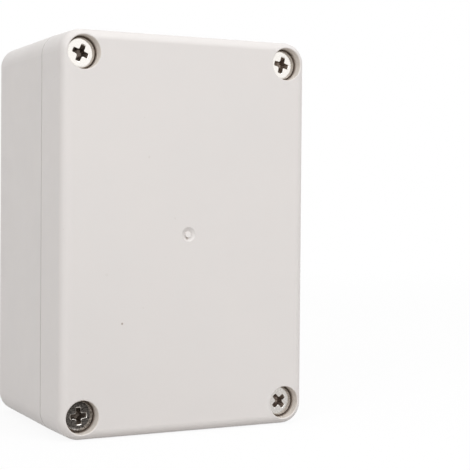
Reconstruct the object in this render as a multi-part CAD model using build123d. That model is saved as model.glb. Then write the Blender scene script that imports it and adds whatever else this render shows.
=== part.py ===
from build123d import *
import math
import os

# Plastic project box: a moulded base and lid with a cord seal between them, closed
# by four countersunk screws that run down into brass inserts.
#
# Sizes are in millimetres. Every piece is drawn lying on the box's back, with x
# across, y along and z out through the lid. It is then stood upright, with the lid
# facing -Y, the long side along +Z and the origin under the middle of the box.

# Box
box_width = 68.0
box_length = 100.0
box_depth = 50.0
lid_depth = 14.3
corner_radius = 5.5
draft_angle = 0.5
front_edge_radius = 2.4
back_edge_radius = 1.8
parting_edge_radius = 0.2
seam_gap = 0.25
floor_thickness = 2.5
lid_thickness = 2.5
inner_edge_radius = 1.0

# Screw columns, one in each corner, outside the seal
screw_inset = 5.8
column_wall = 1.3
column_floor = 3.0

# Seal: a tongue on the base, a groove in the lid and a cord at the bottom of the groove
cord_diameter = 2.4
cord_clearance = 0.05
cord_end_gap = 0.4
cord_bend_radius = 3.5
lip_thickness = 1.3
rib_thickness = 1.2
tongue_thickness = 1.2
tongue_height = 4.0
tongue_chamfer = 0.3

# Lid screws, M4 by 16, with a countersunk head and a cross recess
screw_radius = 2.0
screw_reach = 4.2
screw_tip_chamfer = 0.5
head_radius = 3.75
head_land = 0.4
head_edge_radius = 0.25
head_sink = 2.75
screw_turns = {"top_left": -25.5, "top_right": -17.0, "bottom_left": 4.0, "bottom_right": 39.0}

# Cross recess in the screw heads
recess_span = 4.6
recess_arm_width = 1.2
recess_depth = 2.0
recess_foot_radius = 1.25
recess_tip_depth = 0.5
recess_flank_angle = 5.0
recess_corner_radius = 0.4

# Screw wells and holes in the lid
well_depth = 3.75
well_clearance = 0.4
well_rim_radius = 0.25
hole_clearance = 0.25
seat_clearance = 0.1

# Brass inserts in the base
insert_wall = 0.9
insert_length = 8.0
insert_sink = 0.2
insert_groove_depth = 0.3
insert_groove_length = 1.4
insert_chamfer = 0.3
thread_clearance = 0.05

# Wall screw holes in the base, beside the lid screws and outside the seal
wall_hole_offset = 8.2
wall_hole_radius = 2.15
wall_head_room = 1.45
wall_hole_floor = 3.5

# Circuit board bosses on the floor
boss_inset_x = 9.0
boss_inset_y = 26.0
boss_radius = 3.0
boss_height = 5.0
boss_foot = 0.8
pilot_radius = 1.25
pilot_floor = 2.0

# Gate mark in the middle of the lid: a dish with the gate's snapped-off stub in it
gate_dish_radius = 1.85
gate_dish_depth = 0.75
gate_stub_radius = 0.75
gate_stub_height = 0.5
gate_stub_slope = 15

# Heights that follow from the sizes above
parting_height = box_depth - lid_depth
base_height = parting_height - seam_gap
ceiling_height = box_depth - lid_thickness
well_floor = box_depth - well_depth
head_top = box_depth - head_sink
insert_top = base_height - insert_sink
screw_length = head_top - base_height + screw_reach

# Radii that follow
hole_radius = screw_radius + hole_clearance
insert_radius = screw_radius + insert_wall
well_radius = head_radius + well_clearance
wall_shaft_radius = wall_hole_radius + wall_head_room

# Insets from the outer walls, measured at the parting line
groove_width = cord_diameter + 2 * cord_clearance
seal_inset = lip_thickness + groove_width / 2
base_wall = seal_inset + tongue_thickness / 2
rib_inset = lip_thickness + groove_width + rib_thickness
wall_hole_inset = screw_inset + wall_hole_offset
column_width = screw_inset + wall_shaft_radius + column_wall - lip_thickness
column_length = wall_hole_inset + wall_shaft_radius + column_wall - lip_thickness
groove_depth = tongue_height - seam_gap + cord_diameter + 2 * cord_clearance

# Each corner's side in x and y
CORNERS = {"top_left": (-1, 1), "top_right": (1, 1), "bottom_left": (-1, -1), "bottom_right": (1, -1)}


def corner_place(corner, inset_x, inset_y):
    """A point at those insets from the outer walls of a corner."""
    side_x, side_y = CORNERS[corner]
    return side_x * (box_width / 2 - inset_x), side_y * (box_length / 2 - inset_y)


def screw_place(corner):
    """Centre of a lid screw."""
    return corner_place(corner, screw_inset, screw_inset)


def wall_hole_place(corner):
    """Centre of a wall screw hole."""
    return corner_place(corner, screw_inset, wall_hole_inset)


def seal_corners(inset):
    """The twelve corners of the seal's line, anticlockwise from the bottom wall, each with its radius.

    The line runs inset from the outer walls and steps in round each screw column.
    """
    end_x = box_width / 2 - column_width - inset
    end_y = box_length / 2 - inset
    side_x = box_width / 2 - inset
    side_y = box_length / 2 - column_length - inset
    outward = cord_bend_radius + seal_inset - inset
    inward = cord_bend_radius - seal_inset + inset
    step = [(end_x, end_y, outward), (end_x, side_y, inward), (side_x, side_y, outward)]
    corners = [(x, -y, radius) for x, y, radius in step]
    corners += [(x, y, radius) for x, y, radius in reversed(step)]
    corners += [(-x, y, radius) for x, y, radius in step]
    corners += [(-x, -y, radius) for x, y, radius in reversed(step)]
    return corners


def seal_area(inset):
    """The flat area inside the seal's line at that inset."""
    corners = seal_corners(inset)
    points = [(x, y) for x, y, radius in corners]
    radii = [radius for x, y, radius in corners]
    return make_face(FilletPolyline(points, radius=radii, close=True).edges())


def moulding(depth, far_edge_radius):
    """Solid outer form of the base or lid, from its full size at z 0 up to depth, drawn in by the draft."""
    outline = RectangleRounded(box_width, box_length, corner_radius)
    form = extrude(outline, amount=depth, taper=draft_angle)
    form = fillet(form.faces().sort_by(Axis.Z)[-1].edges(), far_edge_radius)
    return fillet(form.faces().sort_by(Axis.Z)[0].edges(), parting_edge_radius)


def peg(radius, low, high, place=(0, 0)):
    """An upright cylinder at place, from z low to high."""
    return Pos(place[0], place[1], low) * extrude(Circle(radius), amount=high - low)


def turned(points):
    """A solid of revolution about z, from a closed profile of radii and heights."""
    profile = Plane.XZ * make_face(Polyline(points, close=True).edges())
    return revolve(profile, axis=Axis.Z)


def board_boss():
    """A boss for a circuit board screw, with a sloped foot."""
    top = floor_thickness + boss_height
    return turned(
        [
            (0, floor_thickness),
            (boss_radius + boss_foot, floor_thickness),
            (boss_radius, floor_thickness + boss_foot),
            (boss_radius, top),
            (0, top),
        ]
    )


def base_shell():
    """The moulded base, with its cavity, tongue, screw columns and floor bosses."""
    body = Pos(0, 0, base_height) * Rot(180, 0, 0) * moulding(base_height, back_edge_radius)

    cavity = extrude(seal_area(base_wall), amount=base_height - floor_thickness)
    cavity = fillet(cavity.faces().sort_by(Axis.Z)[0].edges(), inner_edge_radius)
    body -= Pos(0, 0, floor_thickness) * cavity

    tongue = seal_area(seal_inset - tongue_thickness / 2) - seal_area(base_wall)
    tongue = extrude(tongue, amount=tongue_height)
    tongue = chamfer(tongue.faces().sort_by(Axis.Z)[-1].edges(), tongue_chamfer)
    body += Pos(0, 0, base_height) * tongue

    insert_seat = insert_top - insert_length
    for corner in CORNERS:
        body -= peg(insert_radius, insert_seat, base_height, screw_place(corner))
        body -= peg(hole_radius, column_floor, insert_seat, screw_place(corner))
        body -= peg(wall_shaft_radius, wall_hole_floor, base_height, wall_hole_place(corner))
        body -= peg(wall_hole_radius, 0, wall_hole_floor, wall_hole_place(corner))

    for corner in CORNERS:
        place = corner_place(corner, boss_inset_x, boss_inset_y)
        body += Pos(*place) * board_boss()
        body -= peg(pilot_radius, pilot_floor, floor_thickness + boss_height, place)
    return body


def screw_pocket():
    """What is cut from the lid for one screw: its hole, the seat under its head and the well above."""
    seat_radius = head_radius - (head_top - head_land - well_floor) + seat_clearance
    seat_low = well_floor - (seat_radius - hole_radius)
    return turned(
        [
            (0, parting_height),
            (hole_radius, parting_height),
            (hole_radius, seat_low),
            (seat_radius, well_floor),
            (well_radius, well_floor),
            (well_radius, box_depth),
            (0, box_depth),
        ]
    )


def well_rims(body):
    """The edges of the lid that run round the mouths of its screw wells."""
    round_faces = body.faces().filter_by(GeomType.CYLINDER)
    wells = round_faces.filter_by(lambda face: math.isclose(face.radius, well_radius))
    curves = wells.edges().filter_by(GeomType.LINE, reverse=True)
    return curves.filter_by(lambda edge: edge.center().Z > box_depth - well_depth / 2)


def gate_mark(body):
    """The lid with its gate mark: a round dish and, in it, a stub whose top slopes down towards the top wall."""
    bowl_radius = (gate_dish_radius**2 + gate_dish_depth**2) / (2 * gate_dish_depth)
    dish_floor = box_depth - gate_dish_depth
    body -= Pos(0, 0, dish_floor + bowl_radius) * Sphere(bowl_radius)
    snapped = Pos(0, 0, dish_floor + gate_stub_height) * Rot(-gate_stub_slope, 0, 0) * Plane.XY
    return body + split(peg(gate_stub_radius, ceiling_height, box_depth), snapped, keep=Keep.BOTTOM)


def lid():
    """The moulded lid, with its screw wells, sealing groove and gate mark."""
    body = Pos(0, 0, parting_height) * moulding(lid_depth, front_edge_radius)
    for corner in CORNERS:
        body -= Pos(*screw_place(corner)) * screw_pocket()
    body = fillet(well_rims(body), well_rim_radius)

    cavity = extrude(seal_area(rib_inset), amount=ceiling_height - parting_height)
    cavity = fillet(cavity.faces().sort_by(Axis.Z)[-1].edges(), inner_edge_radius)
    body -= Pos(0, 0, parting_height) * cavity
    groove = seal_area(lip_thickness) - seal_area(lip_thickness + groove_width)
    body -= Pos(0, 0, parting_height) * extrude(groove, amount=groove_depth)
    for corner in CORNERS:
        body -= peg(wall_shaft_radius, parting_height, ceiling_height, wall_hole_place(corner))
    return gate_mark(body)


def sealing_cord():
    """The round cord at the bottom of the lid's groove, its two ends meeting in the bottom wall."""
    corners = seal_corners(seal_inset)
    wall = seal_inset - box_length / 2
    start = (cord_end_gap / 2, wall)
    end = (-cord_end_gap / 2, wall)
    points = [start] + [(x, y) for x, y, radius in corners] + [end]
    path = FilletPolyline(points, radius=[radius for x, y, radius in corners])
    section = Plane(origin=(start[0], start[1], 0), z_dir=(1, 0, 0)) * Circle(cord_diameter / 2)
    middle = parting_height + groove_depth - cord_clearance - cord_diameter / 2
    return Pos(0, 0, middle) * sweep(section, path=path)


def cross_recess():
    """What is cut from a screw head: four arms that narrow downwards, ending on a blunt point."""
    arm = recess_arm_width
    cross = Rectangle(recess_span + arm, arm) + Rectangle(arm, recess_span + arm)
    inner = [corner for corner in cross.vertices() if max(abs(corner.X), abs(corner.Y)) < arm]
    cross = fillet(inner, recess_corner_radius)
    arms = extrude(cross, amount=-(recess_depth + recess_tip_depth), taper=recess_flank_angle)
    envelope = turned(
        [
            (0, 0),
            (recess_span / 2, 0),
            (recess_foot_radius, -recess_depth),
            (0, -recess_depth - recess_tip_depth),
        ]
    )
    return arms & envelope


def lid_screw(turn):
    """A countersunk screw along z, its head's top at z 0 and its recess turned by so many degrees."""
    shank_top = -head_land - (head_radius - screw_radius)
    body = turned(
        [
            (0, 0),
            (head_radius, 0),
            (head_radius, -head_land),
            (screw_radius, shank_top),
            (screw_radius, screw_tip_chamfer - screw_length),
            (screw_radius - screw_tip_chamfer, -screw_length),
            (0, -screw_length),
        ]
    )
    body = fillet(body.faces().sort_by(Axis.Z)[-1].edges(), head_edge_radius)
    return Rot(0, 0, turn) * (body - cross_recess())


def threaded_insert():
    """A brass insert along z, with its top at z 0 and a groove round its middle."""
    bore = screw_radius + thread_clearance
    groove_low = -(insert_length + insert_groove_length) / 2
    groove_high = groove_low + insert_groove_length
    groove_radius = insert_radius - insert_groove_depth
    return turned(
        [
            (bore, -insert_chamfer),
            (bore, insert_chamfer - insert_length),
            (bore + insert_chamfer, -insert_length),
            (insert_radius, -insert_length),
            (insert_radius, groove_low),
            (groove_radius, groove_low),
            (groove_radius, groove_high),
            (insert_radius, groove_high),
            (insert_radius, 0),
            (bore + insert_chamfer, 0),
        ]
    )


def write_pieces():
    """Builds every piece, stands it upright and writes it to its own file."""
    pieces = {"base_shell": base_shell(), "lid": lid(), "sealing_cord": sealing_cord()}
    for corner in CORNERS:
        x, y = screw_place(corner)
        pieces["lid_screw_" + corner] = Pos(x, y, head_top) * lid_screw(screw_turns[corner])
        pieces["threaded_insert_" + corner] = Pos(x, y, insert_top) * threaded_insert()
    upright = Plane(origin=(0, box_depth / 2, box_length / 2), x_dir=(1, 0, 0), z_dir=(0, -1, 0))
    os.makedirs("parts", exist_ok=True)
    for name, piece in pieces.items():
        export_step(upright.location * piece, "parts/" + name + ".step")


write_pieces()
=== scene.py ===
import math

import bpy
import numpy as np
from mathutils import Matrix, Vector


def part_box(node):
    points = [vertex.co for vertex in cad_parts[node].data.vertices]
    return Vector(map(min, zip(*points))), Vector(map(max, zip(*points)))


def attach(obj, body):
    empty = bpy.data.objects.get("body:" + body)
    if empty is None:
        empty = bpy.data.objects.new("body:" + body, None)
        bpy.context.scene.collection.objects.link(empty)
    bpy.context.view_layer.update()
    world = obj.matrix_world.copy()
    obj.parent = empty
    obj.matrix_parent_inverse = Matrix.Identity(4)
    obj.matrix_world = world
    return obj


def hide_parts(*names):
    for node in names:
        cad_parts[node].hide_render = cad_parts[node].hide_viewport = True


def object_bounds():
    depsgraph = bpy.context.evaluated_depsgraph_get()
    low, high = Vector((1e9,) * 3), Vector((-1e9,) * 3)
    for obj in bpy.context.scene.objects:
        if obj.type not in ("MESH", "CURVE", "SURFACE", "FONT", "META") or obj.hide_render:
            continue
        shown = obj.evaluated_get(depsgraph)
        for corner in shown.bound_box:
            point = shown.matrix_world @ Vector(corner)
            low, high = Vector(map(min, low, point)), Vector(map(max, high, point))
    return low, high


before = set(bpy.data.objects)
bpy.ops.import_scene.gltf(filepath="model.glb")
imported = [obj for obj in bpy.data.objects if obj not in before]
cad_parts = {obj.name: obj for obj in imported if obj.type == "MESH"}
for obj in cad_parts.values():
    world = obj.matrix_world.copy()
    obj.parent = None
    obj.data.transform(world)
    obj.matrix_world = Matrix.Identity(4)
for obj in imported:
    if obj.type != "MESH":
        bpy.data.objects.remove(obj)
cad_low, cad_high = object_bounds()

# Base shell
# The deep half of the box, injection moulded in warm grey-white ABS with a fine satin texture.
# The brass inserts are pressed into its corner columns, and the lid is screwed to them.

MM = 0.001
SHELL_GREY = (0.775, 0.742, 0.722, 1)
SHELL_GREY_CLOUDED = (0.765, 0.735, 0.718, 1)
CLOUD_SIZE = 16 * MM
SPECK_AND_SHADE_BROWN = (0.36, 0.29, 0.24, 1)
SPECK_SPACING = 6.5 * MM
SPECK_STRENGTH = 0.2
SPECK_CORE = 0.012
SPECK_RIM = 0.03
PLASTIC_ROUGHNESS = (0.40, 0.50)
GLOSS_PATCH_SIZE = 4 * MM
PLASTIC_SPECULAR = 0.45
GRAIN_SIZE = 0.35 * MM
GRAIN_DEPTH = 0.03 * MM
GRAIN_STRENGTH = 0.35
# The colour of the painted shade on the joint between the shells.
JOINT_SHADE_GREY = (0.58, 0.55, 0.53, 1)
JOINT_PLANE = -10.5 * MM
JOINT_SHADE_HEIGHT = 0.25 * MM
JOINT_SHADE_WIDTH = 0.6 * MM
CORNER_RADIUS = 5.5 * MM

box_middle = (cad_low + cad_high) / 2


def add_node(tree, kind, links=(), **settings):
    """A node of that kind, with links of (input, output socket).

    Each setting is the value of an attribute or, where the node has none of that name, of an input.
    """
    node = tree.nodes.new(kind)
    for name, value in settings.items():
        if hasattr(node, name):
            setattr(node, name, value)
        else:
            node.inputs[name.replace("_", " ")].default_value = value
    for socket, output in links:
        tree.links.new(node.inputs[socket], output)
    return node


def new_finish(name):
    """An empty material: its tree, its Principled shader and the object's own coordinates."""
    finish = bpy.data.materials.new(name)
    finish.use_nodes = True
    shader = finish.node_tree.nodes["Principled BSDF"]
    place = add_node(finish.node_tree, "ShaderNodeTexCoord").outputs["Object"]
    return finish, finish.node_tree, shader, place


def noise(tree, place, size, detail=2.0):
    """Soft noise whose lumps are about that size in metres."""
    lumps = add_node(tree, "ShaderNodeTexNoise", [("Vector", place)], Scale=1 / size, Detail=detail)
    return lumps.outputs["Fac"]


def spread(tree, value, low, high, start=0.3, end=0.7):
    """value from start to end, stretched to low and high."""
    limits = {"From_Min": start, "From_Max": end, "To_Min": low, "To_Max": high}
    return add_node(tree, "ShaderNodeMapRange", [("Value", value)], **limits).outputs["Result"]


def blend_colours(tree, share, first, second):
    """first where share is 0 and second where it is 1. Each is a colour or a socket."""
    mix = add_node(tree, "ShaderNodeMix", data_type="RGBA")
    tree.links.new(mix.inputs["Factor"], share)
    for socket, colour in (("A", first), ("B", second)):
        colour_input = next(i for i in mix.inputs if i.name == socket and i.type == "RGBA")
        if isinstance(colour, tuple):
            colour_input.default_value = colour
        else:
            tree.links.new(colour_input, colour)
    return next(o for o in mix.outputs if o.type == "RGBA")


def maths(tree, operation, *values):
    """The result of a Math node. Each value is a number or a socket."""
    node = add_node(tree, "ShaderNodeMath", operation=operation)
    for socket, value in zip(node.inputs, values):
        if isinstance(value, (int, float)):
            socket.default_value = value
        else:
            tree.links.new(socket, value)
    return node.outputs[0]


def vectors(tree, operation, place, vector=None):
    """The result of a Vector Math node on a place and, where one is given, a fixed vector."""
    node = add_node(tree, "ShaderNodeVectorMath", [(0, place)], operation=operation)
    if vector is not None:
        node.inputs[1].default_value = vector
    return node.outputs["Value" if operation in ("DISTANCE", "LENGTH") else "Vector"]


def y_of(tree, place):
    """How far back a place lies: its Y."""
    return add_node(tree, "ShaderNodeSeparateXYZ", [(0, place)]).outputs["Y"]


def roughen(tree, shader, height, strength, depth):
    """Gives the shader a bump of that strength, from a height of 0 to 1 that stands for that depth."""
    bump = add_node(tree, "ShaderNodeBump", [("Height", height)], Strength=strength, Distance=depth)
    tree.links.new(shader.inputs["Normal"], bump.outputs["Normal"])


def joint_shade(tree, place):
    """1 on the outer edges of the joint between the shells, where painted shade stands for the light
    that hardly reaches in, and 0 elsewhere.

    Past the middles of its corner arcs, every place on the box's outline is a corner radius away from
    the nearest of them, or from the line between two of them.
    """
    half = cad_high - box_middle - Vector((CORNER_RADIUS, 0, CORNER_RADIUS))
    from_middle = vectors(tree, "ABSOLUTE", vectors(tree, "SUBTRACT", place, box_middle))
    past_arcs = vectors(tree, "MAXIMUM", vectors(tree, "SUBTRACT", from_middle, half), (0, 0, 0))
    past_arcs = vectors(tree, "LENGTH", past_arcs)
    inner_edge = CORNER_RADIUS - JOINT_SHADE_WIDTH
    outer = spread(tree, past_arcs, 0, 1, inner_edge, inner_edge + JOINT_SHADE_WIDTH / 2)
    from_plane = maths(tree, "ABSOLUTE", maths(tree, "SUBTRACT", y_of(tree, place), JOINT_PLANE))
    near = spread(tree, from_plane, 1, 0, JOINT_SHADE_HEIGHT / 2, JOINT_SHADE_HEIGHT)
    return maths(tree, "MULTIPLY", outer, near)


def moulded_plastic(name, marks_and_shade=None):
    """Satin moulded ABS: faint clouding, scattered burnt specks, a fine eroded grain, uneven gloss,
    and painted shade on the outer edges of the joint between the shells.

    Where it is given, the last argument lists the piece's own marks and painted light and shade: how
    strongly each shows, and its colour.
    """
    finish, tree, shader, place = new_finish(name)
    clouding = spread(tree, noise(tree, place, CLOUD_SIZE), 0, 1)
    colour = blend_colours(tree, clouding, SHELL_GREY, SHELL_GREY_CLOUDED)

    cells = add_node(tree, "ShaderNodeTexVoronoi", [("Vector", place)], Scale=1 / SPECK_SPACING)
    specks = spread(tree, cells.outputs["Distance"], SPECK_STRENGTH, 0, SPECK_CORE, SPECK_RIM)
    colour = blend_colours(tree, specks, colour, SPECK_AND_SHADE_BROWN)
    for share, mark_and_shade_colour in marks_and_shade(tree, place) if marks_and_shade else ():
        colour = blend_colours(tree, share, colour, mark_and_shade_colour)
    # Painted shade darkens the outer edges of the joint between the shells.
    colour = blend_colours(tree, joint_shade(tree, place), colour, JOINT_SHADE_GREY)
    tree.links.new(shader.inputs["Base Color"], colour)

    gloss = spread(tree, noise(tree, place, GLOSS_PATCH_SIZE), *PLASTIC_ROUGHNESS)
    tree.links.new(shader.inputs["Roughness"], gloss)
    roughen(tree, shader, noise(tree, place, GRAIN_SIZE, detail=3.0), GRAIN_STRENGTH, GRAIN_DEPTH)
    shader.inputs["Specular IOR Level"].default_value = PLASTIC_SPECULAR
    return finish


def dress(node, finish):
    """Gives a CAD node its finish."""
    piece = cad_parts[node]
    piece.data.materials.clear()
    piece.data.materials.append(finish)


dress("base_shell", moulded_plastic("base plastic"))

# Threaded inserts
# Turned brass inserts, pressed hot into the screw columns. Each has a knurl in two bands with a
# groove between them, which the plastic closes round, and an M4 thread inside.

CORNERS = ("top_left", "top_right", "bottom_left", "bottom_right")
BRASS = (0.78, 0.56, 0.27, 1)
BRASS_DULL = (0.45, 0.31, 0.14, 1)
BRASS_ROUGHNESS = 0.28
BRASS_SPOTS = 0.07
BRASS_SPOT_SIZE = 1.2 * MM
SMEAR_SIZE = 0.4 * MM
SMEAR_RANGE = (0.8, 1.25)
SCRATCH_SIZE = 0.25 * MM
SCRATCH_DEPTH = 0.02 * MM
SCRATCH_STRENGTH = 0.6
DULL_ROUGHNESS = 0.45
INSERT_BORE = 2.05 * MM
INSERT_THREAD_DEPTH = 0.2 * MM
INSERT_BAND_GAP = 1.4 * MM
INSERT_GROOVE_DEPTH = 0.3 * MM
INSERT_KNURL_DEPTH = 0.15 * MM
INSERT_KNURL_TEETH = 24
INSERT_CHAMFER = 0.3 * MM
INSERT_BAND_EDGE = 0.15 * MM
THREAD_PITCH = 0.7 * MM
ROWS_PER_TURN = 12
COLUMNS = 96
SHARP_ANGLE = math.radians(32)

# How polished a metal is, as its material reads it from the attribute "polish".
DULL, PLAIN, WORN = 0, 0.5, 1


def around():
    """The angle of each column of a turned piece, in radians."""
    return np.arange(COLUMNS) * 2 * math.pi / COLUMNS


def thread_height(heights, angles):
    """How high the thread stands, from 0 at its root to 1 at its crest, on a grid of heights and angles.

    The place within a turn is the height over the pitch less the angle over a full turn. The crest is
    an eighth of the pitch wide and the root a quarter, with straight flanks between them.
    """
    turn = heights[:, None] / THREAD_PITCH - angles[None, :] / (2 * math.pi)
    off_crest = np.abs((turn + 0.5) % 1 - 0.5)
    crest_end, root_start = 1 / 16, 3 / 8
    return np.clip((root_start - off_crest) / (root_start - crest_end), 0, 1)


def new_object(name, points, faces, smooth=True):
    """A mesh of those points and faces, as an object in the scene."""
    mesh = bpy.data.meshes.new(name)
    mesh.from_pydata(points, [], faces)
    mesh.polygons.foreach_set("use_smooth", np.full(len(mesh.polygons), smooth))
    piece = bpy.data.objects.new(name, mesh)
    bpy.context.scene.collection.objects.link(piece)
    return piece


def turned_surface(name, radii, heights, middle, top, first=None, last=None, polish=()):
    """A surface turned about an axis that points out of the lid, from a grid of radii and heights.

    A point lies at (radius cos angle, radius sin angle) about middle, and height above top. The rows
    close on themselves, or on the single heights first and last where these are given. polish says how
    polished the first rows are, and the others are plain.
    """
    rows = radii.shape[0]
    angles = around()[None, :]
    across = middle.x + radii * np.cos(angles)
    up = middle.z + radii * np.sin(angles)
    points = np.stack([across, top - heights, up], axis=-1).reshape(-1, 3)

    closed = first is None
    row, column = np.meshgrid(np.arange(rows if closed else rows - 1), np.arange(COLUMNS), indexing="ij")
    here, below = row * COLUMNS, (row + 1) % rows * COLUMNS
    after = (column + 1) % COLUMNS
    quads = np.stack([here + column, below + column, below + after, here + after], axis=-1)
    faces = quads.reshape(-1, 4).tolist()
    if not closed:
        ends = [[middle.x, top - first, middle.z], [middle.x, top - last, middle.z]]
        points = np.concatenate([points, ends])
        ring = np.arange(COLUMNS)
        following = (ring + 1) % COLUMNS
        last_row = (rows - 1) * COLUMNS
        upper, lower = len(points) - 2, len(points) - 1
        faces += np.stack([ring * 0 + upper, ring, following], axis=-1).tolist()
        faces += np.stack([ring * 0 + lower, last_row + following, last_row + ring], axis=-1).tolist()

    piece = new_object(name, points.tolist(), faces)
    piece.data.set_sharp_from_angle(angle=SHARP_ANGLE)
    values = np.full(len(points), PLAIN, np.float32)
    values[: len(polish) * COLUMNS] = np.repeat(polish, COLUMNS)
    if polish:
        values[rows * COLUMNS] = polish[0]
    piece.data.attributes.new("polish", "FLOAT", "POINT").data.foreach_set("value", values)
    return piece


def node_axis(node):
    """The middle of a CAD node that is turned about Y, its radius, and the Y of its front and back."""
    low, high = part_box(node)
    return (low + high) / 2, (high.x - low.x) / 2, low.y, high.y


def insert_profile(radius, length):
    """Radii and heights of an insert: down its threaded bore, and back up the outside."""
    bore = np.linspace(0, -length, int(length / THREAD_PITCH * ROWS_PER_TURN))
    threads = INSERT_BORE + INSERT_THREAD_DEPTH * (1 - thread_height(bore, around()))
    from_end = np.minimum(-bore, bore + length)[:, None]
    threads = np.maximum(threads, INSERT_BORE + INSERT_CHAMFER - from_end)

    groove_low = -(length + INSERT_BAND_GAP) / 2
    groove_high = groove_low + INSERT_BAND_GAP
    edge = INSERT_BAND_EDGE
    groove = INSERT_GROOVE_DEPTH
    outer = np.array([-length, -length + edge, groove_low - edge, groove_low, groove_low,
                      groove_high, groove_high, groove_high + edge, -edge, 0])
    knurled = np.array([0, 1, 1, 0, 0, 0, 0, 1, 1, 0])[:, None]
    sunk = np.array([edge, 0, 0, edge, groove, groove, edge, 0, 0, edge])[:, None]
    teeth = np.abs(np.sin(around() * INSERT_KNURL_TEETH / 2))[None, :]
    outside = radius - sunk - knurled * INSERT_KNURL_DEPTH * teeth
    heights = np.concatenate([bore, outer])[:, None] + np.zeros(COLUMNS)
    return np.concatenate([threads, outside]), heights


def bright_metal(name, colour, roughness, spots, spot_size, dull_and_shade_colour, worn_colour):
    """Bare or plated metal: spots that are darker by that share, fine scratches, worn parts and dull
    parts; on the screws the spots and the dull colour also carry painted shade.
    """
    finish, tree, shader, place = new_finish(name)
    tone = spread(tree, noise(tree, place, spot_size), 0, 1)
    darker = tuple((1 - spots) * c for c in colour[:3]) + (1,)
    shade = blend_colours(tree, tone, darker, colour)
    polish = add_node(tree, "ShaderNodeAttribute", attribute_name="polish").outputs["Fac"]
    shade = blend_colours(tree, spread(tree, polish, 0, 1, PLAIN, WORN), shade, worn_colour)
    dull = spread(tree, polish, 1, 0, DULL, PLAIN)
    tree.links.new(shader.inputs["Base Color"], blend_colours(tree, dull, shade, dull_and_shade_colour))
    shader.inputs["Metallic"].default_value = 1

    smoothest, roughest = (roughness * share for share in SMEAR_RANGE)
    smears = spread(tree, noise(tree, place, SMEAR_SIZE), smoothest, roughest)
    rough = maths(tree, "ADD", smears, maths(tree, "MULTIPLY", dull, DULL_ROUGHNESS))
    tree.links.new(shader.inputs["Roughness"], rough)
    scratches = noise(tree, place, SCRATCH_SIZE, detail=4.0)
    roughen(tree, shader, scratches, SCRATCH_STRENGTH, SCRATCH_DEPTH)
    return finish


brass = bright_metal(
    "insert brass", BRASS, BRASS_ROUGHNESS, BRASS_SPOTS, BRASS_SPOT_SIZE, BRASS_DULL, BRASS
)
for corner in CORNERS:
    node = "threaded_insert_" + corner
    middle, radius, front, back = node_axis(node)
    radii, heights = insert_profile(radius, back - front)
    insert = turned_surface("brass_insert_" + corner, radii, heights, middle, front)
    insert.data.materials.append(brass)
    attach(insert, "base")
    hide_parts(node)

# Sealing cord
# A round cord of soft white silicone rubber, cut to length and laid in the lid's groove by hand,
# with its ends together in the bottom wall. Its skin has a faint bloom.

CORD_WHITE = (0.80, 0.77, 0.74, 1)
CORD_BLOOM = (0.74, 0.70, 0.66, 1)
BLOOM_SIZE = 3 * MM
CORD_ROUGHNESS = (0.55, 0.7)
CORD_PATCH_SIZE = 1.5 * MM
SKIN_SIZE = 0.3 * MM
SKIN_DEPTH = 0.04 * MM
SKIN_STRENGTH = 0.4

cord_finish, tree, shader, place = new_finish("seal rubber")
bloom = spread(tree, noise(tree, place, BLOOM_SIZE, detail=3.0), 0, 1)
tree.links.new(shader.inputs["Base Color"], blend_colours(tree, bloom, CORD_BLOOM, CORD_WHITE))
roughen(tree, shader, noise(tree, place, SKIN_SIZE, detail=3.0), SKIN_STRENGTH, SKIN_DEPTH)
patches = spread(tree, noise(tree, place, CORD_PATCH_SIZE), *CORD_ROUGHNESS)
tree.links.new(shader.inputs["Roughness"], patches)
dress("sealing_cord", cord_finish)

# Lid
# The shallow half of the box, moulded in the same plastic and held by four screws, which stand in its
# corner wells. The gate's broken-off stub is in its middle. Its face has a few burnt specks and a
# painted shadow under the stub. Its wells have a painted warm tint of reflected light, and painted
# shade deep in them.

WELL_RADIUS = 4.15 * MM
WELL_DEPTH = 3.75 * MM
WELL_MARGIN = 1.03
# The well walls get a painted warm tint of reflected light, and painted shade towards their floor.
WELL_WARM_LIGHT_TINT = (0.82, 0.73, 0.61, 1)
WELL_WARM_LIGHT_SHARE = 0.35
WELL_SHADE_START = 2.1 * MM
WELL_SHADE_FULL = 3.0 * MM

# Each mark's middle, radius and strength. The first four are burnt specks, and the last, in the gate's
# dish under the stub, is the stub's painted shadow.
lid_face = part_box("lid")[0].y
LID_SPECKS_AND_STUB_SHADOW = [
    ((-18.0 * MM, lid_face, 28.2 * MM), 0.34 * MM, 0.9),
    ((-11.0 * MM, lid_face, 69.2 * MM), 0.40 * MM, 0.12),
    ((-22.1 * MM, lid_face, 40.3 * MM), 0.55 * MM, 0.06),
    ((-3.8 * MM, lid_face, 54.0 * MM), 0.30 * MM, 0.13),
    ((-0.2 * MM, lid_face + 0.53 * MM, 49.0 * MM), 0.50 * MM, 0.5),
]


def in_well(tree, place):
    """1 in a screw well, 0 elsewhere.

    The box's middle is taken off a place, and its signs are dropped, so one well stands for all four.
    """
    well = node_axis("lid_screw_top_right")[0] - box_middle
    folded = vectors(tree, "ABSOLUTE", vectors(tree, "SUBTRACT", place, box_middle))
    across = vectors(tree, "MULTIPLY", folded, (1, 0, 1))
    from_axis = vectors(tree, "DISTANCE", across, (well.x, 0, well.z))
    within = maths(tree, "LESS_THAN", from_axis, WELL_RADIUS * WELL_MARGIN)
    above_floor = maths(tree, "LESS_THAN", y_of(tree, place), lid_face + WELL_DEPTH * WELL_MARGIN)
    return maths(tree, "MULTIPLY", within, above_floor)


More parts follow.
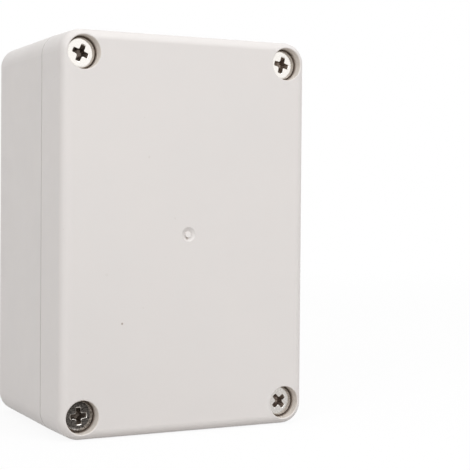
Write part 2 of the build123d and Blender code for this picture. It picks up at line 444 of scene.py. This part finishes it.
def lid_marks_and_shade(tree, place):
    """Burnt specks, and painted light: a warm tint and deep shade in the wells, a shadow under the stub.
    """
    inside = in_well(tree, place)
    deep = spread(tree, y_of(tree, place), 0, 1, lid_face + WELL_SHADE_START, lid_face + WELL_SHADE_FULL)
    # A painted warm tint stands for light the screw heads throw on the walls; painted shade darkens them
    # deep down.
    marks_and_shade = [
        (maths(tree, "MULTIPLY", inside, WELL_WARM_LIGHT_SHARE), WELL_WARM_LIGHT_TINT),
        (maths(tree, "MULTIPLY", inside, deep), SPECK_AND_SHADE_BROWN),
    ]
    # Burnt specks, and last the painted shadow under the gate's stub.
    for middle, radius, strength in LID_SPECKS_AND_STUB_SHADOW:
        from_mark = vectors(tree, "DISTANCE", place, middle)
        marks_and_shade.append((spread(tree, from_mark, strength, 0, radius / 2, radius), SPECK_AND_SHADE_BROWN))
    return marks_and_shade


dress("lid", moulded_plastic("lid plastic", lid_marks_and_shade))

# Lid screws
# M4 machine screws with a countersunk head and a cross recess, cold formed, thread rolled and nickel
# plated. Each stands in its well at the angle where it was driven tight.

NICKEL = np.array([0.74, 0.715, 0.68, 1])
# The darker nickel, and the spots in it, paint a dark reflection into the screw heads.
NICKEL_PAINTED_DARK = np.array([0.66, 0.62, 0.58, 1])
NICKEL_ROUGHNESS = 0.09
DARK_SPOTS = 0.85
DARK_SPOT_SIZE = 0.42 * MM
# The recess's brown is partly dull plating and partly painted shade.
RECESS_DULL_AND_SHADE_BROWN = np.array([0.25, 0.21, 0.18])
# This table darkens each head with a painted dark reflection: the heads are shaded copies of one nickel.
SCREW_PAINTED_DARKNESS = {"top_left": 0.05, "top_right": 0.1, "bottom_left": 1.0, "bottom_right": 0.3}
# This table makes each recess's brown lighter or darker with painted light.
RECESS_PAINTED_LIGHT = {"top_left": 0.95, "top_right": 1.5, "bottom_left": 1.0, "bottom_right": 1.5}
SCREW_TURNS = {"top_left": -22.0, "top_right": -13.5, "bottom_left": 2.5, "bottom_right": 40.5}
SHANK_RADIUS = 2.0 * MM
THREAD_ROOT = 1.57 * MM
NECK_RADIUS = 1.78 * MM
NECK_LENGTH = 0.8 * MM
NECK_STEP = 0.1 * MM
THREAD_START = 0.15 * MM
TIP_CHAMFER = 0.5 * MM
HEAD_LAND = 0.4 * MM
HEAD_EDGE = 0.25 * MM
CROWN_WIDTH = 0.7 * MM
RECESS_SPAN = 4.25 * MM
RECESS_ARM = 1.2 * MM
RECESS_CORNER = 0.4 * MM
RECESS_LIP = 0.2 * MM
LIP_MARGIN = 0.05 * MM
RECESS_END_SLOPE = 0.525
RECESS_FLANK_SLOPE = math.tan(math.radians(5))
RECESS_FLOOR = 2.5 * MM
RECESS_FLOOR_SLOPE = 0.4
SMALLEST_SINE = 0.01

# The recess's rows: three up to its lip, and the four of the lip, which drivers wear bright.
RECESS_POLISH = [DULL] * 3 + [WORN] * 4


def recess_outline(depth, turn):
    """How far the cross recess reaches from the screw's axis in each column, at that depth.

    An arm's side is a straight line at half an arm's width from its axis, so it lies at that width over
    the sine of the angle off the axis. Between two arms the corner is part of a circle, and each arm
    ends on a circle about the screw's axis. Both draw in with depth.
    """
    off_arm = (around() - math.radians(turn)) % (math.pi / 2)
    off_arm = np.minimum(off_arm, math.pi / 2 - off_arm)
    half = RECESS_ARM / 2 - depth * RECESS_FLANK_SLOPE
    side = half / np.maximum(np.sin(off_arm), SMALLEST_SINE)
    centre = half + RECESS_CORNER
    missed = centre * (np.cos(off_arm) - np.sin(off_arm))
    chord = np.sqrt(np.maximum(RECESS_CORNER**2 - missed**2, 0))
    rounded = centre * (np.cos(off_arm) + np.sin(off_arm)) - chord
    side = np.where(np.tan(off_arm) > half / centre, rounded, side)
    return np.minimum(side, RECESS_SPAN / 2 - depth * RECESS_END_SLOPE)


def screw_profile(head_radius, length, turn):
    """Radii and heights of a screw, from the floor of its recess over the head and down the thread.

    The recess's lip and the head's edge are quarter circles. Narrow rings beside them keep the smooth
    shading off the flat face, but for the crown at its rim.
    """
    foot_depth = RECESS_FLOOR - RECESS_FLOOR_SLOPE * recess_outline(RECESS_FLOOR, turn)
    foot = recess_outline(foot_depth, turn)
    below_lip = RECESS_LIP + LIP_MARGIN
    radii = [foot / 2, foot, recess_outline(below_lip, turn)]
    heights = [-(RECESS_FLOOR - RECESS_FLOOR_SLOPE * foot / 2), -foot_depth, -below_lip]
    for angle in np.radians([90, 60, 30, 0]):
        depth = RECESS_LIP * (1 - math.cos(angle))
        radii.append(recess_outline(depth, turn) + RECESS_LIP * (1 - math.sin(angle)))
        heights.append(-depth)
    radii += [radii[-1] + LIP_MARGIN, head_radius - HEAD_EDGE - CROWN_WIDTH]
    heights += [0, 0]
    for angle in np.radians([0, 22.5, 45, 67.5, 90]):
        radii.append(head_radius - HEAD_EDGE * (1 - math.sin(angle)))
        heights.append(-HEAD_EDGE * (1 - math.cos(angle)))
    shank_top = -HEAD_LAND - (head_radius - SHANK_RADIUS)
    radii += [head_radius, SHANK_RADIUS, NECK_RADIUS]
    heights += [-HEAD_LAND, shank_top, shank_top - NECK_STEP]

    thread_rows = int((length + shank_top) / THREAD_PITCH * ROWS_PER_TURN)
    thread = np.linspace(shank_top - THREAD_START, -length, thread_rows)
    crest = THREAD_ROOT + (SHANK_RADIUS - THREAD_ROOT) * thread_height(thread, around())
    grown = np.clip((shank_top - NECK_LENGTH - thread) / THREAD_PITCH, 0, 1)[:, None]
    crest = NECK_RADIUS + (crest - NECK_RADIUS) * grown
    crest = np.minimum(crest, SHANK_RADIUS - TIP_CHAMFER + (thread + length)[:, None])
    full = np.zeros(COLUMNS)
    radii = np.concatenate([np.array([r + full for r in radii]), crest])
    heights = np.concatenate([np.array([h + full for h in heights]), thread[:, None] + full])
    return radii, heights


def nickel(corner):
    """Nickel plating, darkened by that corner's share of painted dark reflection, with a recess brown
    that painted light makes lighter or darker for that corner.
    """
    share = SCREW_PAINTED_DARKNESS[corner]
    colour = tuple((NICKEL + (NICKEL_PAINTED_DARK - NICKEL) * share).tolist())
    brown = tuple((RECESS_DULL_AND_SHADE_BROWN * RECESS_PAINTED_LIGHT[corner]).tolist()) + (1,)
    name = "screw nickel " + corner.replace("_", " ")
    spots = DARK_SPOTS * share
    worn = tuple(NICKEL.tolist())
    return bright_metal(name, colour, NICKEL_ROUGHNESS, spots, DARK_SPOT_SIZE, brown, worn)


for corner in CORNERS:
    node = "lid_screw_" + corner
    middle, radius, front, back = node_axis(node)
    radii, heights = screw_profile(radius, back - front, SCREW_TURNS[corner])
    ends = {"first": -RECESS_FLOOR, "last": front - back}
    name = "cross_screw_" + corner
    screw = turned_surface(name, radii, heights, middle, front, polish=RECESS_POLISH, **ends)
    screw.data.materials.append(nickel(corner))
    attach(screw, "screw_" + corner)
    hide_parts(node)

# Floor and backdrop
# A white sheet that runs level under the box and sweeps up behind it. It shows white to the camera
# and in the screws, and keeps part of the box's shadow.

SHEET_HALF_WIDTH = 2.5
SHEET_FRONT = -2.5
SHEET_BEND = 1.2
SHEET_BEND_RADIUS = 0.5
SHEET_BEND_ROWS = 13
SHEET_TOP = 2.0
SHADOW_SHARE = 0.1
SHADOW_REACH = 0.35
SHADOW_END = 0.8
PAPER_IN_ROOM = (0.555, 0.54, 0.53, 1)
PAPER_IN_VIEW = (0.95, 0.95, 0.95, 1)


def in_view(tree):
    """1 for a ray from the camera or off gloss or glass, and 0 for one that only gathers light."""
    rays = add_node(tree, "ShaderNodeLightPath")
    seen = maths(tree, "MAXIMUM", rays.outputs["Is Camera Ray"], rays.outputs["Is Glossy Ray"])
    return maths(tree, "MAXIMUM", seen, rays.outputs["Is Transmission Ray"])


bend = np.radians(np.linspace(0, 90, SHEET_BEND_ROWS))
bend_y = SHEET_BEND + SHEET_BEND_RADIUS * np.sin(bend)
bend_z = SHEET_BEND_RADIUS * (1 - np.cos(bend))
profile_y = np.concatenate([[SHEET_FRONT], bend_y, bend_y[-1:]])
profile_z = np.concatenate([[0], bend_z, [SHEET_TOP]])
side_x = np.array([-SHEET_HALF_WIDTH, SHEET_HALF_WIDTH])
sheet_places = [np.tile(side_x, len(profile_y)), np.repeat(profile_y, 2), np.repeat(profile_z, 2)]
first = np.arange(len(profile_y) - 1) * 2
sheet_faces = np.stack([first, first + 1, first + 3, first + 2], axis=-1)
sheet = new_object("white_sheet", np.stack(sheet_places, axis=-1).tolist(), sheet_faces.tolist())

paper = bpy.data.materials.new("white paper")
paper.use_nodes = True
tree = paper.node_tree
tree.nodes.clear()
place = add_node(tree, "ShaderNodeTexCoord").outputs["Object"]
from_box = vectors(tree, "LENGTH", place)
shown = spread(tree, from_box, 1 - SHADOW_SHARE, 1, SHADOW_REACH, SHADOW_END)
shown = maths(tree, "MULTIPLY", in_view(tree), shown)
camera_ray = add_node(tree, "ShaderNodeLightPath").outputs["Is Camera Ray"]
paper_tone = blend_colours(tree, camera_ray, PAPER_IN_ROOM, PAPER_IN_VIEW)
matte = add_node(tree, "ShaderNodeBsdfDiffuse", [("Color", paper_tone)]).outputs[0]
white = add_node(tree, "ShaderNodeEmission", Color=(1, 1, 1, 1), Strength=1.0).outputs[0]
mixed = add_node(tree, "ShaderNodeMixShader", [(0, shown), (1, matte), (2, white)]).outputs[0]
add_node(tree, "ShaderNodeOutputMaterial", [("Surface", mixed)])
sheet.data.materials.append(paper)

# Dark card
# A black card that lies on the floor in front of the box and stands up at its far edge. Only
# reflections show it: it paints a dark reflection into the lower left screw head.

CARD_X = (-0.045, 0.022)
CARD_NEAR = -0.030
CARD_FAR = -0.100
CARD_FOOT = 0.0005
CARD_TOP = 0.035
CARD_BLACK = (0.085, 0.077, 0.071, 1)

card_edges = [(CARD_NEAR, CARD_FOOT), (CARD_FAR, CARD_FOOT), (CARD_FAR, CARD_TOP)]
card_points = [(x, y, z) for y, z in card_edges for x in CARD_X]
card = new_object("dark_card", card_points, [(0, 1, 3, 2), (2, 3, 5, 4)], smooth=False)
card_finish, _, shader, _ = new_finish("black card")
shader.inputs["Base Color"].default_value = CARD_BLACK
card.data.materials.append(card_finish)
card.visible_camera = False
card.visible_diffuse = False
card.visible_shadow = False
card.visible_transmission = False

# Light
# An even white room with soft lights overhead, on each side of the front and behind the box, and a
# faint low one that the upper screw heads mirror.

ROOM_STRENGTH = 0.60


def soft_light(name, place, side, power, height=None):
    """A soft light that faces the box: a square, or a rectangle of that height."""
    light = bpy.data.lights.new(name, "AREA")
    light.shape = "RECTANGLE"
    light.size = side
    light.size_y = height or side
    light.energy = power
    lamp = bpy.data.objects.new(name, light)
    lamp.location = place
    lamp.rotation_euler = (box_middle - lamp.location).to_track_quat("-Z", "Y").to_euler()
    bpy.context.scene.collection.objects.link(lamp)


soft_light("overhead light", (0.0, -0.10, 0.80), side=0.7, power=0.9)
soft_light("left light", (-0.74, -0.62, 0.52), side=0.6, power=3.0)
soft_light("right light", (0.30, -0.78, 0.85), side=0.6, power=3.75)
soft_light("low light", (0.39, -0.83, 0.22), side=0.55, power=0.20, height=0.32)
soft_light("back light", (0.55, 0.85, 0.22), side=0.6, power=2.4)

room = bpy.data.worlds.new("white room")
room.use_nodes = True
tree = room.node_tree
background = tree.nodes["Background"]
background.inputs["Color"].default_value = (1, 1, 1, 1)
strength = spread(tree, in_view(tree), ROOM_STRENGTH, 1, 0, 1)
tree.links.new(background.inputs["Strength"], strength)
bpy.context.scene.world = room

# Camera
# It stands a little left of the box and level with its middle. Its frame was a crop, so its axis lies
# off the middle of the picture.

PICTURE_SIDE = 470
FOCAL_LENGTH = 1228.1
AXIS_PIXEL = (187.3, 220.1)
SENSOR_WIDTH = 36
CLIP_START = 0.01
CAMERA_PLACE = (-0.13629, -0.30168, 0.05940)
CAMERA_ANGLES = (88.923, -0.424, -26.148)

camera_data = bpy.data.cameras.new("camera")
camera_data.sensor_width = SENSOR_WIDTH
camera_data.lens = FOCAL_LENGTH * SENSOR_WIDTH / PICTURE_SIDE
camera_data.shift_x = (PICTURE_SIDE / 2 - AXIS_PIXEL[0]) / PICTURE_SIDE
camera_data.shift_y = (AXIS_PIXEL[1] - PICTURE_SIDE / 2) / PICTURE_SIDE
camera_data.clip_start = CLIP_START
camera = bpy.data.objects.new("camera", camera_data)
camera.location = CAMERA_PLACE
camera.rotation_euler = [math.radians(angle) for angle in CAMERA_ANGLES]
bpy.context.scene.collection.objects.link(camera)
bpy.context.scene.camera = camera
bpy.context.scene.view_settings.view_transform = "Standard"
